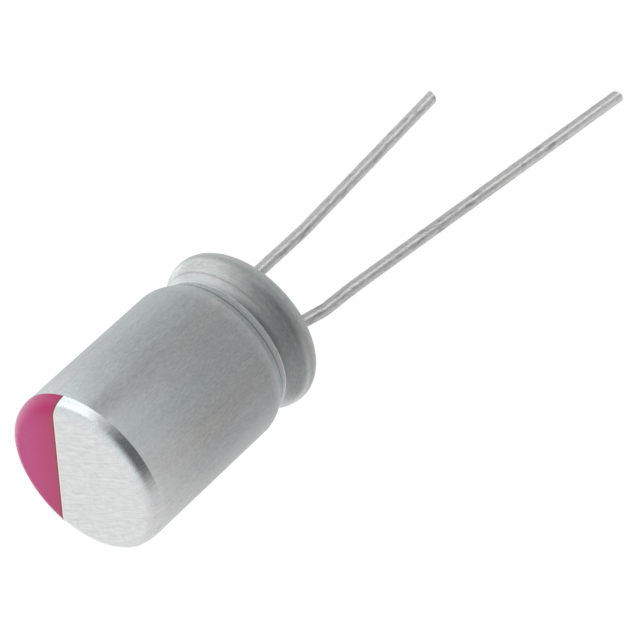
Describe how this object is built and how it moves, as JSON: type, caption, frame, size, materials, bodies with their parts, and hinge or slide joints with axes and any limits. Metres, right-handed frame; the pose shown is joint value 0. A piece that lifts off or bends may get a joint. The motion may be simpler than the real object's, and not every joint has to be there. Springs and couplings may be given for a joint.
{
  "type": "polymer capacitor",
  "caption": "Radial polymer capacitor: bare drawn aluminium can with a coloured polarity segment on its head, a beaded and curled base over a rubber seal, and splayed tinned wire leads.",
  "frame": {"origin": "on the board, on the can's axis, midway between the points where the leads leave the seal", "axes": "+Z along the can's axis towards the head, leads along -Z, anode towards -X, cathode and polarity mark towards +X"},
  "size_m": [0.0091, 0.008, 0.0337],
  "materials": {
    "can_aluminium": "satin, drawn, bare",
    "mark_ink": "magenta printing ink, slightly glossy",
    "seal_rubber": "moulded butyl rubber, matte",
    "tinned_wire": "tin plate, bright with draw marks",
    "tab_aluminium": "pressed, dull",
    "wound_foil": "etched foil and separator soaked with polymer",
    "closing_tape": "polyimide tape"
  },
  "bodies": {
    "root": {"can": "can_aluminium", "polarity_mark": "mark_ink", "rubber_seal": "seal_rubber", "anode_lead": "tinned_wire", "cathode_lead": "tinned_wire", "anode_tab": "tab_aluminium", "cathode_tab": "tab_aluminium", "wound_element": "wound_foil", "winding_tape": "closing_tape"}
  },
  "joints": []
}
